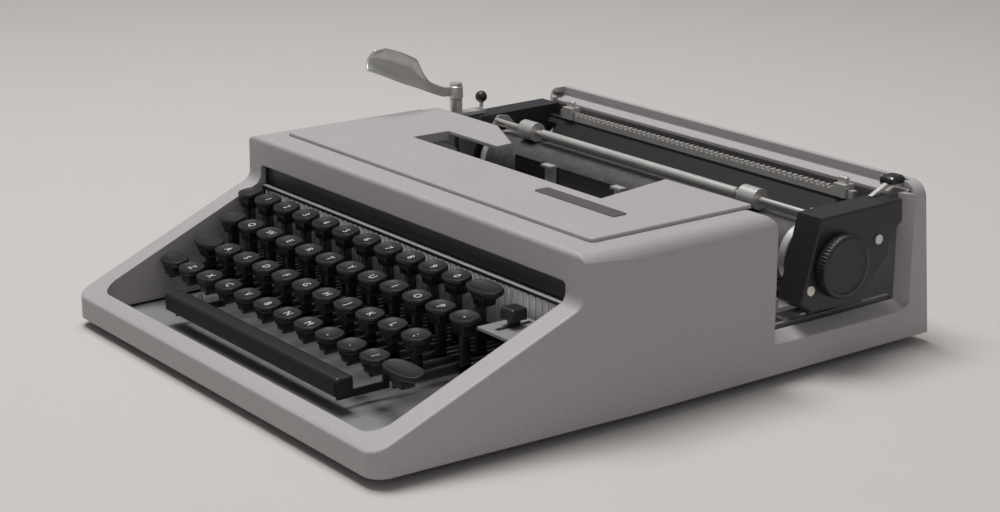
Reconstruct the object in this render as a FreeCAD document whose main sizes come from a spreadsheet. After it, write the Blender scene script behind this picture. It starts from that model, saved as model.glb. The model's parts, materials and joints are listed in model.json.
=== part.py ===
"""Portable typewriter as an assembly of separate pieces.

Millimetres, +Z up, +Y to the rear, +X to the typist's right. Each piece is drawn with y measured
from the front lip and z from the casing's lower edge. Its datum placement then puts the origin
on the table, under the middle of the footprint.
"""
import FreeCAD
import Part
import Sketcher
import math
import os
import re

SIZES = {
    # casing
    "body_depth": 335.0, "body_half": 146.5, "front_half": 140.7, "taper_end": 142.0,
    "wall": 3.0, "foot_height": 5.0,
    "lip_y": 1.7, "lip_z": 12.3, "fascia_y": 108.8, "fascia_z": 57.3, "top_z": 80.5,
    "back_lean": 7.6, "back_y": "=body_depth - back_lean", "back_z": 76.0, "top_round": 8.0, "corner_round": 9.0,
    "slot_half": 132.3, "slot_top": 66.0, "slot_low": 54.5,
    "well_front": 8.0, "well_back": 108.0, "well_half": 128.0, "well_half_back": 132.0,
    "well_round": 11.0, "well_floor": 3.5,
    "notch_front": 226.0, "notch_back": 320.0, "notch_low": 15.2, "notch_high": 19.5,
    "sill_depth": 8.0, "pan_thick": 2.0,
    # top cover
    "cover_half": 130.5, "cover_front": 125.0, "cover_back": 225.0, "cover_rise": 1.9,
    "cover_ledge": 4.5, "cover_lift": 0.1,
    "gap_front": 172.6, "gap_left": 79.0, "gap_right": 79.5, "tongue_end": 35.0,
    "tongue_front": 196.3, "tongue_back": 206.7,
    # keyboard
    "key_pitch": 19.05, "key_wide": 15.6, "key_deep": 12.6, "key_high": 5.0,
    "number_start": -124.8, "upper_start": "=number_start + key_pitch / 2",
    "home_start": "=number_start + key_pitch * 1.75",
    "lower_start": "=number_start + key_pitch * 1.25",
    "number_y": 97.0, "number_z": 55.0, "upper_y": 81.0, "upper_z": 45.8,
    "home_y": 64.0, "home_z": 36.6, "lower_y": 47.5, "lower_z": 27.5,
    "lever_thick": 1.6, "lever_z": 17.0, "lever_high": 5.0,
    "fulcrum_y": 205.0, "fulcrum_z": 17.0, "fulcrum_radius": 2.5,
    "bar_left": -92.0, "bar_right": 71.0, "bar_front": 26.0, "bar_back": 36.0, "bar_top": 20.0,
    # frame and type basket
    "plate_x": 133.0, "plate_thick": 2.0, "rail_radius": 4.0, "rail_z": 18.0,
    "rail_front": 258.0, "rail_back": 296.0,
    "basket_y": 222.0, "basket_z": 44.0, "segment_radius": 45.0, "basket_radius": 90.0,
    "spool_x": 95.0, "spool_y": 185.0, "spool_z": 55.0, "spool_high": 15.0, "spool_radius": 23.0,
    # carriage
    "bed_half": 129.2, "bed_front": 243.0, "bed_back": 302.0, "bed_z": 23.6, "bed_thick": 2.2,
    "end_inner": 130.7, "end_wide": 14.7, "end_outer": "=end_inner + end_wide",
    "platen_y": 268.0, "platen_z": 47.9,
    "platen_radius": 16.2, "platen_half": 126.2, "shaft_radius": 4.0, "knob_radius": 16.0,
    "knob_long": 6.6, "knob_outer": "=end_outer + knob_long",
    "bail_y": 265.5, "bail_z": 69.8, "bail_radius": 1.5,
    "bail_pivot_y": 288.0, "bail_pivot_z": 50.0, "rack_y": 307.0, "rack_z": 70.7,
    "rack_half": 118.0, "post_x": 137.0, "post_y": 243.0, "post_radius": 2.4,
    "running": 0.06, "spare": 0.3,
}
HOME_KEYS = 10
TYPEBARS = 43
WORD = re.compile(r"[a-z][a-z_]*")

doc = FreeCAD.newDocument("Typewriter")
sheet = doc.addObject("Spreadsheet::Sheet", "Sizes")
for line_number, (alias, value) in enumerate(SIZES.items(), 1):
    sheet.set("A%d" % line_number, alias)
    sheet.set("B%d" % line_number, str(value))
    sheet.setAlias("B%d" % line_number, alias)
doc.recompute()
nodes = []


# ---- drawing helpers -------------------------------------------------------------------------

def formula(text):
    """The text with each size named as a cell of the sheet."""
    return WORD.sub(lambda word: "Sizes." + word.group() if word.group() in SIZES
                    else word.group(), str(text))


def number(text):
    """The text's value now, for first guesses and for edge picking."""
    value = sheet.evalExpression(formula(text))
    return float(getattr(value, "Value", value))


def bind(item, **texts):
    """Bind properties, written with two underscores for each dot, to formulas."""
    for name, text in texts.items():
        item.setExpression(name.replace("__", "."), formula(text))


def box(name, x, y, z):
    """A block between the two limits given for each axis."""
    item = doc.addObject("Part::Box", name)
    bind(item, Length="(%s) - (%s)" % x[::-1], Width="(%s) - (%s)" % y[::-1],
         Height="(%s) - (%s)" % z[::-1], Placement__Base__x=x[0], Placement__Base__y=y[0],
         Placement__Base__z=z[0])
    return item


def rod(name, axis, span, centre, radius):
    """A cylinder along x, y or z over the span, about the other two coordinates."""
    item = doc.addObject("Part::Cylinder", name)
    turn = {"x": FreeCAD.Rotation(FreeCAD.Vector(0, 1, 0), 90),
            "y": FreeCAD.Rotation(FreeCAD.Vector(1, 0, 0), -90),
            "z": FreeCAD.Rotation()}[axis]
    item.Placement = FreeCAD.Placement(FreeCAD.Vector(), turn)
    spots = dict(zip([letter for letter in "xyz" if letter != axis], centre))
    spots[axis] = span[0]
    bind(item, Radius=radius, Height="(%s) - (%s)" % span[::-1], Placement__Base__x=spots["x"],
         Placement__Base__y=spots["y"], Placement__Base__z=spots["z"])
    return item


def prism(name, axis, points, span):
    """A padded polygon: (y, z) points along x, (x, z) along y, (x, y) along z."""
    body = doc.addObject("PartDesign::Body", name)
    role = {"x": "YZ_Plane", "y": "XZ_Plane", "z": "XY_Plane"}[axis]
    plane = [item for item in body.Origin.OriginFeatures if item.Role == role][0]
    sketch = body.newObject("Sketcher::SketchObject", name + "_outline")
    sketch.AttachmentSupport = [(plane, "")]
    sketch.MapMode = "FlatFace"
    start = "-(%s)" % span[1] if axis == "y" else span[0]
    bind(sketch, AttachmentOffset__Base__z=start)
    corners = [FreeCAD.Vector(number(a), number(b), 0) for a, b in points]
    for index, corner in enumerate(corners):
        following = corners[(index + 1) % len(corners)]
        sketch.addGeometry(Part.LineSegment(corner, following), False)
    for index in range(len(corners)):
        sketch.addConstraint(Sketcher.Constraint("Coincident", index, 2, (index + 1) % len(corners), 1))
    for index, (pair, corner) in enumerate(zip(points, corners)):
        for kind, text, value in (("DistanceX", pair[0], corner.x), ("DistanceY", pair[1], corner.y)):
            place = sketch.addConstraint(Sketcher.Constraint(kind, -1, 1, index, 1, value))
            sketch.setExpression("Constraints[%d]" % place, formula(text))
    pad = body.newObject("PartDesign::Pad", name + "_pad")
    pad.Profile = sketch
    bind(pad, Length="(%s) - (%s)" % span[::-1])
    return body


def fuse(name, *items):
    """One solid from several."""
    item = doc.addObject("Part::MultiFuse", name)
    item.Shapes = list(items)
    return item


def cut(name, base, *tools):
    """The base less the tools."""
    item = doc.addObject("Part::Cut", name)
    item.Base = base
    item.Tool = tools[0] if len(tools) == 1 else fuse(name + "_tools", *tools)
    return item


def common(name, first, second):
    """What two solids share."""
    item = doc.addObject("Part::Common", name)
    item.Base = first
    item.Tool = second
    return item


def group(name, items):
    """Separate solids kept together in one piece of the tree."""
    item = doc.addObject("Part::Compound", name)
    item.Links = list(items)
    return item


def mirrored(name, item):
    """The same piece on the other side of the machine."""
    other = doc.addObject("Part::Mirroring", name)
    other.Source = item
    other.Normal = FreeCAD.Vector(1, 0, 0)
    return other


def both_sides(name, item):
    """A piece and its mirror image, as two solids."""
    return group(name, [item, mirrored(name + "_left", item)])


def round_edges(name, base, radius, chosen):
    """Fillet the edges whose middle point and direction pass the test."""
    doc.recompute()
    size = number(radius)
    item = doc.addObject("Part::Fillet", name)
    item.Base = base
    picked = []
    for index, edge in enumerate(base.Shape.Edges, 1):
        middle = edge.valueAt((edge.FirstParameter + edge.LastParameter) / 2)
        run = (edge.lastVertex().Point - edge.firstVertex().Point)
        if run.Length and chosen(middle, run.normalize()):
            picked.append((index, size, size))
    item.Edges = picked
    return item


def near(value, text, within=0.6):
    """Whether a coordinate lies at the place that the formula gives."""
    return abs(value - number(text)) < within


def node(name, item):
    """Make the item a sub-part of its own, standing at the datum."""
    piece = group(name, [item])
    piece.Label = name
    bind(piece, Placement__Base__y="-body_depth / 2", Placement__Base__z="foot_height")
    nodes.append(piece)


# ---- casing ----------------------------------------------------------------------------------

RIM_SLOPE = "((fascia_z - lip_z) / (fascia_y - lip_y))"


def plan(inset):
    """The casing's outline from above, moved inward."""
    front, side = "front_half - %s" % inset, "body_half - %s" % inset
    rear = "body_depth - %s" % inset
    return [("-(%s)" % front, inset), (front, inset), (side, "taper_end"), (side, rear),
            ("-(%s)" % side, rear), ("-(%s)" % side, "taper_end")]


def casing():
    sides = ("-body_half - 5", "body_half + 5")
    outline = prism("casing_plan", "z", plan("0"), ("0", "top_z + 5"))
    profile = prism("casing_profile", "x", [
        ("0", "0"), ("0", "lip_z - 1"), ("lip_y", "lip_z"), ("fascia_y", "fascia_z"),
        ("fascia_y + 0.4", "top_z"), ("back_y", "top_z"), ("back_y + 0.2", "back_z"),
        ("body_depth", "0")], sides)
    block = common("casing_block", outline, profile)

    def front_corner(spot, run):
        return abs(run.z) > 0.9 and spot.y < 3

    def long_top(spot, run):
        return near(spot.z, "top_z") and abs(spot.x) > number("body_half - 4") and abs(run.y) > 0.9

    def fascia_foot(spot, run):
        return near(spot.y, "fascia_y") and near(spot.z, "fascia_z") and abs(run.x) > 0.9

    def fascia_top(spot, run):
        return near(spot.y, "fascia_y + 0.4") and near(spot.z, "top_z") and abs(run.x) > 0.9

    def lip(spot, run):
        return spot.y < number("lip_y + 1") and spot.z > 5 and abs(run.x) > 0.9

    def rim_side(spot, run):
        return (abs(spot.x) > number("front_half - 1") and spot.y < number("fascia_y - 3")
                and spot.z > 5 and abs(run.y) > 0.5)

    block = round_edges("casing_corners", block, "corner_round", front_corner)
    block = round_edges("casing_foot_round", block, "6", fascia_foot)
    block = round_edges("casing_brow", block, "2.5", fascia_top)
    block = round_edges("casing_rim", block, "1.2", lambda spot, run: lip(spot, run) or rim_side(spot, run))

    tunnel = box("casing_tunnel", ("-body_half", "body_half"), ("-5", "body_depth + 5"), ("-1", "top_z"))
    tunnel = round_edges("casing_top_round", tunnel, "top_round", long_top)
    block = common("casing_outside", block, tunnel)

    inner_plan = prism("cavity_plan", "z", plan("wall"), ("-1", "top_z"))
    rim_drop = "3.25 * wall / 3"
    inner_profile = prism("cavity_profile", "x", [
        ("wall", "-2"), ("wall", "lip_z + %s * (wall - lip_y) - %s" % (RIM_SLOPE, rim_drop)),
        ("fascia_y + wall", "fascia_z + %s * wall - %s" % (RIM_SLOPE, rim_drop)),
        ("fascia_y + wall + 0.4", "top_z - wall"), ("back_y - wall", "top_z - wall"),
        ("body_depth - wall", "-2")], sides)
    cavity = common("cavity", inner_plan, inner_profile)
    well_wall = prism("well_wall", "z", [
        ("-well_half - 2.5", "well_front - 2.5"), ("well_half + 2.5", "well_front - 2.5"),
        ("well_half_back + 2.5", "well_back + 2"), ("-well_half_back - 2.5", "well_back + 2")],
        ("well_floor", "top_z"))
    shell = cut("shell", block, cut("cavity_clear", cavity, well_wall))

    well = prism("well", "z", [
        ("-well_half", "well_front"), ("well_half", "well_front"),
        ("well_half_back", "well_back"), ("-well_half_back", "well_back")],
        ("-1", "top_z + 4"))
    well = round_edges("well_corners", well, "well_round",
                       lambda spot, run: abs(run.z) > 0.9 and near(spot.y, "well_front"))
    slot = box("fascia_slot", ("-slot_half", "slot_half"), ("well_back - 1", "fascia_y + 8"),
               ("-1", "slot_top"))
    slot = round_edges("slot_corners", slot, "2.5",
                       lambda spot, run: abs(run.y) > 0.9 and near(spot.z, "slot_top"))
    cover_hole = box("cover_hole", ("cover_ledge - cover_half", "cover_half - cover_ledge"),
                     ("cover_front + cover_ledge", "notch_front + 5"), ("top_z - 12", "top_z + 5"))
    notch = box("notch", sides, ("notch_front", "notch_back"), ("notch_low", "top_z + 5"))
    notch = round_edges("notch_corner", notch, "6",
                        lambda spot, run: abs(run.x) > 0.9 and near(spot.y, "notch_back")
                        and near(spot.z, "notch_low"))
    shoulder = cut("shoulder", box("shoulder_block", sides, ("notch_front - 8", "notch_front + 1"),
                                   ("top_z - 8", "top_z + 5")),
                   rod("shoulder_round", "x", sides, ("notch_front - 8", "top_z - 8"), "8"))
    bay = box("bay", ("sill_depth - body_half", "body_half - sill_depth"),
              ("notch_back - 30", "back_y - wall"), ("notch_high", "top_z + 5"))
    opened = cut("casing_opened", shell, well, slot, cover_hole, notch, shoulder, bay)

    sill = prism("sill", "y", [
        ("body_half", "notch_low"), ("body_half - sill_depth", "notch_high"),
        ("body_half - sill_depth", "notch_high - 3"), ("body_half - wall", "notch_low - 3")],
        ("notch_front - 3", "notch_back"))
    jamb = prism("jamb", "z", [
        ("body_half", "notch_back"), ("body_half - sill_depth", "notch_back - 4"),
        ("body_half - sill_depth", "notch_back - 1"), ("body_half - wall", "notch_back + 3")],
        ("notch_low", "back_z - 1"))
    rear_lip = prism("rear_lip", "x", [
        ("back_y - 1.2", "back_z"), ("back_y - 8.5", "back_z - 2.6"), ("back_y - 8.5", "back_z - 4.4"),
        ("back_y - wall", "back_z - 12"), ("back_y - 1.2", "back_z - 12")],
        ("sill_depth / 2 - body_half", "body_half - sill_depth / 2"))
    node("casing", fuse("casing_shell", opened, rear_lip, sill, mirrored("sill_left", sill),
                        jamb, mirrored("jamb_left", jamb)))


def base():
    spots = [(side + "(body_half - 24)", y) for side in ("", "-") for y in ("28", "body_depth - 30")]
    node("rubber_feet", group("feet", [
        rod("foot_%d" % i, "z", ("-foot_height", "0"), spot, "9") for i, spot in enumerate(spots)]))
    spots = [(side + "(body_half - 30)", y) for side in ("", "-") for y in ("60", "body_depth - 80")]
    node("base_pan", cut("pan_drilled", prism("pan", "z", plan("(wall + 0.8)"), ("0", "pan_thick")), *[
        rod("pan_hole_%d" % i, "z", ("-1", "pan_thick + 1"), spot, "1.4 + running")
        for i, spot in enumerate(spots)]))
    node("casing_screws", group("screws", [
        fuse("screw_%d" % i, rod("screw_head_%d" % i, "z", ("-1.6", "0"), spot, "3.4"),
             rod("screw_shank_%d" % i, "z", ("-0.5", "pan_thick + 4"), spot, "1.4"))
        for i, spot in enumerate(spots)]))


# ---- top cover -------------------------------------------------------------------------------

def cover():
    low, high = "top_z + cover_lift", "top_z + cover_lift + cover_rise"
    outline = [
        ("-cover_half", "cover_front"), ("cover_half", "cover_front"), ("cover_half", "cover_back - 2"),
        ("gap_right - 9", "cover_back - 3"), ("gap_right", "gap_front"), ("-gap_left", "gap_front"),
        ("-gap_left", "tongue_front"), ("-tongue_end", "tongue_front"),
        ("-tongue_end - 1", "tongue_back"), ("6 - gap_left", "cover_back"),
        ("-cover_half", "cover_back")]
    lid = prism("lid", "z", outline, (low, high))
    lid = round_edges("lid_corners", lid, "3", lambda spot, run: abs(run.z) > 0.9
                      and near(spot.y, "cover_front"))
    lid = round_edges("lid_edge", lid, "0.8", lambda spot, run: near(spot.z, high, 0.2)
                      and (near(spot.y, "cover_front", 3.5) or abs(spot.x) > number("cover_half - 3")))
    reach = "cover_half - cover_ledge - spare"
    skirt = cut("skirt", box("skirt_block", ("-(%s)" % reach, reach),
                             ("cover_front + cover_ledge + spare", "cover_front + cover_ledge + 14"),
                             ("top_z - 5", low)),
                box("skirt_hollow", ("2 - (%s)" % reach, "%s - 2" % reach),
                    ("cover_front + cover_ledge + 2", "cover_front + 60"), ("top_z - 6", "top_z - 0.1")))
    turned = [box("hem_front", ("-gap_left + 0.6", "gap_right - 0.6"), ("gap_front - 1.4", "gap_front"),
                  ("top_z - 3", "top_z + 1")),
              box("hem_left", ("-gap_left - 1.4", "-gap_left"), ("gap_front - 1.4", "tongue_front"),
                  ("top_z - 3", "top_z + 1"))]
    node("top_cover", fuse("cover_shell", lid, skirt, *turned))
    plate = box("plate", ("49.5", "109"), ("155.6", "163.9"), (high, "%s + 0.7" % high))
    node("badge", round_edges("plate_corners", plate, "0.6", lambda spot, run: abs(run.z) > 0.9))


# ---- frame and type basket -------------------------------------------------------------------

def frame():
    def side_plate(name, top_end, span):
        """A plate with a slanted front corner, its tall part ending short of the carriage."""
        return prism(name, "x", [
            ("114", "pan_thick"), ("114", "48"), ("138", "72"), (top_end, "72"),
            (top_end + " + 1.5", "20.5"), ("318", "20.5"), ("318", "pan_thick")], span)
    node("frame_side_plates", group("side_plates", [
        side_plate("side_plate_left", "238.5", ("-plate_x - plate_thick", "-plate_x")),
        side_plate("side_plate_right", "219", ("plate_x", "plate_x + plate_thick"))]))
    across = ("-plate_x", "plate_x")
    node("frame_cross_bars", group("cross_bars", [
        box("front_bar", across, ("126", "134"), ("32", "40")),
        box("middle_bar", across, ("214", "221"), ("25", "33")),
        box("rear_bar", across, ("310", "316"), ("pan_thick", "12")),
        box("lever_stop_bar", across, ("116", "121"), ("lever_z + lever_high + spare", "27"))]))
    node("carriage_rails", group("rails", [
        rod("rail_%s" % spot, "x", across, (spot, "rail_z"), "rail_radius")
        for spot in ("rail_front", "rail_back")]))
    node("fulcrum_rod", rod("fulcrum", "x", across, ("fulcrum_y", "fulcrum_z"), "fulcrum_radius"))
    behind = ("fascia_y + wall + 0.8", "fascia_y + wall + 2")
    baffle = fuse("baffle", box("baffle_wall", ("-131.5", "131.5"), behind, ("30", "slot_top + 4")),
                  box("baffle_ledge", ("-131.5", "131.5"), ("well_back + 1", behind[1]),
                      ("slot_low - 1.2", "slot_low")))
    ears = box("baffle_ear", ("131", "plate_x"), (behind[0], "115.2"), ("40", "44"))
    node("front_baffle", fuse("baffle_joined", baffle, ears, mirrored("baffle_ear_left", ears)))


def half_ring(name, outer, inner, z, depth):
    """The front half of a flat ring about the basket's centre."""
    centre = ("0", "basket_y")
    ring = cut(name + "_ring", rod(name + "_outer", "z", z, centre, outer),
               rod(name + "_inner", "z", ("%s - 1" % z[0], "%s + 1" % z[1]), centre, inner))
    return cut(name, ring, box(name + "_rear", ("-basket_radius - 9", "basket_radius + 9"),
                               ("basket_y - %s" % depth, "basket_y + basket_radius + 9"),
                               ("%s - 2" % z[0], "%s + 2" % z[1])))


def basket():
    node("segment", half_ring("segment_half", "segment_radius", "segment_radius - 14",
                              ("33", "50"), "-0.1"))
    node("typebar_rest", half_ring("rest_half", "basket_radius + 3", "basket_radius - 6",
                                   ("basket_z - 4", "basket_z - 0.4"), "38"))
    bars = []
    for i in range(TYPEBARS):
        angle = 205 + 130 * i / (TYPEBARS - 1)
        arm = box("bar_%d" % i, ("segment_radius + 0.3", "basket_radius + 2"), ("-0.5", "0.5"),
                  ("basket_z", "basket_z + 4"))
        slug = box("slug_%d" % i, ("basket_radius - 4", "basket_radius + 4"), ("-1.3", "1.3"),
                   ("basket_z + 3", "basket_z + 7"))
        bar = fuse("typebar_%d" % i, arm, slug)
        bar.Placement = FreeCAD.Placement(FreeCAD.Vector(), FreeCAD.Vector(0, 0, 1), angle)
        bind(bar, Placement__Base__y="basket_y")
        bars.append(bar)
    node("typebars", group("bars", bars))


def ribbon_gear():
    shelf = fuse("spool_seat", box("shelf", ("74", "plate_x"), ("175", "195"), ("52", "spool_z - 0.4")),
                 rod("spindle", "z", ("52", "spool_z + spool_high + 2"), ("spool_x", "spool_y"), "3"))
    node("spool_shelves", both_sides("shelves", shelf))
    for side, sign in (("left", "-"), ("right", "")):
        centre = (sign + "spool_x", "spool_y")
        reel = fuse("reel_" + side,
                    rod("reel_low_" + side, "z", ("spool_z", "spool_z + 1"), centre, "spool_radius"),
                    rod("reel_high_" + side, "z", ("spool_z + spool_high - 1", "spool_z + spool_high"),
                        centre, "spool_radius"),
                    rod("reel_wound_" + side, "z", ("spool_z", "spool_z + spool_high"), centre,
                        "spool_radius - 5"))
        node("ribbon_spool_" + side, cut("reel_bored_" + side, reel, rod(
            "reel_bore_" + side, "z", ("spool_z - 1", "spool_z + spool_high + 1"), centre,
            "3 + running")))
    arm = box("guide_arm", ("25", "33"), ("227", "228.5"), ("50", "69"))
    lip = box("guide_lip", ("25", "33"), ("224", "228.5"), ("67.8", "69"))
    foot = box("guide_foot", ("-33", "33"), ("216", "228.5"), ("50", "51.5"))
    node("ribbon_guide", fuse("guide", arm, lip, mirrored("guide_arm_left", arm),
                              mirrored("guide_lip_left", lip), foot))
    node("ribbon", box("ribbon_strip", ("-62", "62"), ("228.9", "229.4"), ("57", "68")))


def escapement():
    drum = fuse("drum", rod("drum_case", "z", ("5", "16"), ("-104", "277"), "10.5"),
                rod("drum_stud", "z", ("pan_thick", "18"), ("-104", "277"), "3"))
    node("mainspring_drum", drum)
    dome = fuse("dome", rod("dome_cup", "z", ("6", "15"), ("104", "277"), "10.5"),
                rod("dome_stud", "z", ("pan_thick", "17"), ("104", "277"), "2"))
    node("margin_bell", dome)
    teeth = []
    for i in range(24):
        turn = 15 * i
        tooth = box("tooth_%d" % i, ("0", "2.6"), ("-0.6", "0.6"), ("15", "17"))
        tooth.Placement = FreeCAD.Placement(FreeCAD.Vector(), FreeCAD.Vector(0, 0, 1), turn)
        bind(tooth, Placement__Base__x="34 + 7 * cos(%d deg)" % turn,
             Placement__Base__y="277 + 7 * sin(%d deg)" % turn)
        teeth.append(tooth)
    node("escapement_wheel", fuse("wheel", rod("wheel_disc", "z", ("15", "17"), ("34", "277"), "8"),
                                  rod("wheel_stud", "z", ("pan_thick", "19"), ("34", "277"), "2"),
                                  *teeth))


# ---- keyboard --------------------------------------------------------------------------------

def key(name, x, y, z, width="key_wide", lever_x=None):
    """A rounded keytop on a stepped neck, with its stem and its lever back to the fulcrum."""
    lever_x = lever_x or x
    cap = box(name + "_cap", ("(%s) - (%s) / 2" % (x, width), "(%s) + (%s) / 2" % (x, width)),
              ("%s - key_deep / 2" % y, "%s + key_deep / 2" % y), ("%s - key_high" % z, z))
    cap = round_edges(name + "_round", cap, "4.4", lambda spot, run: abs(run.z) > 0.9)
    neck = box(name + "_neck", ("(%s) - 4.6" % x, "(%s) + 4.6" % x), ("%s - 4.4" % y, "%s + 4.4" % y),
               ("%s - key_high - 4" % z, "%s - key_high + 1" % z))
    side = ("(%s) - lever_thick / 2" % lever_x, "(%s) + lever_thick / 2" % lever_x)
    stem = box(name + "_stem", side, ("%s - 3" % y, "%s + 3" % y), ("lever_z", "%s - key_high - 1" % z))
    arm = box(name + "_arm", side, ("%s - 3" % y, "fulcrum_y - fulcrum_radius - spare"),
              ("lever_z", "lever_z + lever_high"))
    return fuse(name, cap, neck, stem, arm)


def along_row(start, i):
    return "%s + key_pitch * %d" % (start, i)


def keyboard():
    node("margin_release_key", key("release_key", "number_start + 0.6", "number_y", "number_z",
                                   "key_wide * 0.8", "number_start"))
    node("number_row_keys", group("number_keys", [
        key("number_%d" % i, along_row("number_start", i), "number_y", "number_z")
        for i in range(1, 11)]))
    node("backspace_key", key("back_key", along_row("number_start", 11) + " + 3", "number_y", "number_z",
                              "key_wide * 1.45", along_row("number_start", 11)))
    node("upper_row_keys", group("upper_keys", [
        key("upper_%d" % i, along_row("upper_start", i), "upper_y", "upper_z") for i in range(12)]))
    for i in range(HOME_KEYS):
        node("home_row_key_%02d" % (i + 1), key("home_%d" % i, along_row("home_start", i),
                                                "home_y", "home_z"))
    node("lower_row_keys", group("lower_keys", [
        key("lower_%d" % i, along_row("lower_start", i), "lower_y", "lower_z") for i in range(10)]))
    node("shift_lock_key", key("lock_key", "home_start - key_pitch - 1.2", "home_y", "home_z",
                               "key_wide * 1.4", "home_start - key_pitch"))
    left_arm, right_arm = "lower_start - key_pitch", "lower_start + key_pitch * 10"
    link = rod("shift_link", "x", (left_arm, "%s - lever_thick / 2" % right_arm), ("196", "6"), "1.5")
    cheek = [box("shift_cheek_%d" % i, ("%s - lever_thick / 2" % x, "%s + lever_thick / 2" % x),
                 ("193", "199"), ("4.5", "lever_z + 1")) for i, x in enumerate((left_arm, right_arm))]
    node("shift_key_left", fuse("left_shift_linked", key(
        "left_shift", left_arm + " + 0.4", "lower_y", "lower_z", "key_wide * 1.13", left_arm),
        link, cheek[0]))
    node("shift_key_right", fuse("right_shift_linked", key(
        "right_shift", right_arm + " + 4", "lower_y", "lower_z", "key_wide * 1.75", right_arm),
        cheek[1]))
    bar = box("bar", ("bar_left", "bar_right"), ("bar_front", "bar_back"), ("bar_top - 9", "bar_top"))
    bar = round_edges("bar_round", bar, "2", lambda spot, run: spot.z > number("bar_top") - 8)
    arms = []
    for i, x in enumerate(("home_start + 2.4", "home_start + 2.4 + key_pitch * 8")):
        side = ("%s - lever_thick / 2" % x, "%s + lever_thick / 2" % x)
        arms.append(box("bar_arm_%d" % i, side, ("bar_back - 4", "lower_y + 12"), ("6.6", "10")))
        arms.append(box("bar_link_%d" % i, side, ("lower_y + 9", "fulcrum_y"),
                        ("9.6", "fulcrum_z - fulcrum_radius - 0.2")))
        arms.append(box("bar_drop_%d" % i, side, ("bar_back - 5", "bar_back - 2"),
                        ("6.6", "bar_top - 8")))
    node("space_bar", fuse("space_bar_all", bar, *arms))


def selector():
    plate = cut("selector_slotted", box("selector_sheet", ("105", "130.8"), ("80", "106"), ("42", "43.4")),
                box("selector_slot", ("112.4", "115.6"), ("84", "104"), ("41", "45")))
    ear = box("selector_ear", ("129.2", "130.8"), ("84", "104"), ("36", "43"))
    node("selector_plate", fuse("selector_bracket", plate, ear))
    cap = box("selector_cap", ("109.2", "118.8"), ("89.4", "98.6"), ("47", "52.5"))
    cap = round_edges("selector_cap_round", cap, "1.5", lambda spot, run: spot.z > 48)
    node("ribbon_selector", fuse("selector", cap, box("selector_stem", ("113", "115"), ("91", "97"),
                                                      ("38", "48")),
                                 box("selector_foot", ("110.5", "117.5"), ("90", "98"), ("38", "41.7"))))


# ---- carriage --------------------------------------------------------------------------------

END_OUTLINE = [("255.8", "73.1"), ("312.2", "73.9"), ("313.1", "62.3"), ("304.9", "56.5"),
               ("304.3", "46.3"), ("297.7", "39.7"), ("286.7", "25.2"), ("282", "24.6"),
               ("251.9", "26.4"), ("244.1", "31.5")]


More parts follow.
